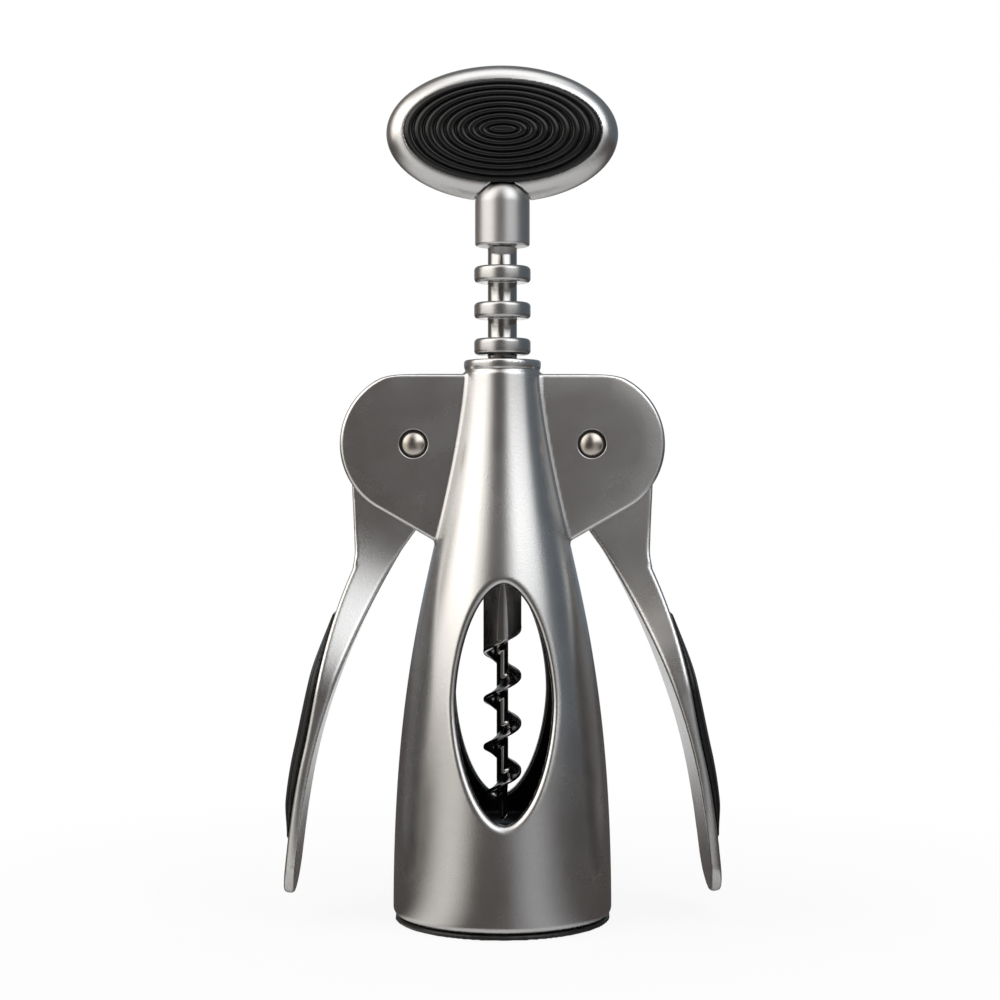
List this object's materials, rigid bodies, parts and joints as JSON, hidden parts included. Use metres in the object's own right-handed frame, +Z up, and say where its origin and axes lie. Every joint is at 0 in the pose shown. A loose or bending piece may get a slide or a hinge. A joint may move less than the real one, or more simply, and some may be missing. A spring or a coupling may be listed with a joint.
{
  "type": "wing corkscrew",
  "caption": "Wing corkscrew with a bell body over the bottle's mouth, two geared levers, a ringed rack stem, a worm and an oval soft-grip handle.",
  "frame": {"origin": "middle of the foot's underside, on the surface it stands on", "axes": "+Z up along the stem, -Y out of the front window, +X towards the right lever"},
  "size_m": [0.0972, 0.0486, 0.1901],
  "materials": {
    "satin_metal": "satin, fine bead-blasted zinc casting",
    "lever_metal": "satin zinc casting",
    "stem_metal": "polished necks and satin collars",
    "pin_metal": "polished",
    "dark_steel": "dark, smooth",
    "soft_black": "soft satin",
    "black_plastic": "matte"
  },
  "bodies": {
    "housing": {"body_shell": "satin_metal", "bottle_guide": "black_plastic", "left_pivot_pin": "pin_metal", "right_pivot_pin": "pin_metal"},
    "rack": {"rack_sleeve": "stem_metal"},
    "spindle": {"worm": "dark_steel", "handle_ferrule": "satin_metal", "handle_frame": "satin_metal", "handle_pad_front": "soft_black", "handle_pad_back": "soft_black"},
    "left_wing": {"left_lever": "lever_metal", "left_lever_pad": "soft_black"},
    "right_wing": {"right_lever": "lever_metal", "right_lever_pad": "soft_black"}
  },
  "joints": [
    {"name": "rack_slide", "type": "slide", "parent": "housing", "child": "rack", "axis": [0, 0, -1], "range_m": [0, 0.034]},
    {"name": "handle_spin", "type": "hinge", "parent": "rack", "child": "spindle", "pos_m": [0, 0, 0.15], "axis": [0, 0, 1], "continuous": true},
    {"name": "left_lever_hinge", "type": "hinge", "parent": "housing", "child": "left_wing", "pos_m": [-0.01977, 0, 0.1056], "axis": [0, 1, 0], "range_deg": [0, 126.76]},
    {"name": "right_lever_hinge", "type": "hinge", "parent": "housing", "child": "right_wing", "pos_m": [0.01977, 0, 0.1056], "axis": [0, -1, 0], "range_deg": [0, 126.76]}
  ],
  "couplings": [
    {"joint": "left_lever_hinge", "follows": "rack_slide", "rad_per_m": 65.043},
    {"joint": "right_lever_hinge", "follows": "rack_slide", "rad_per_m": 65.043}
  ]
}
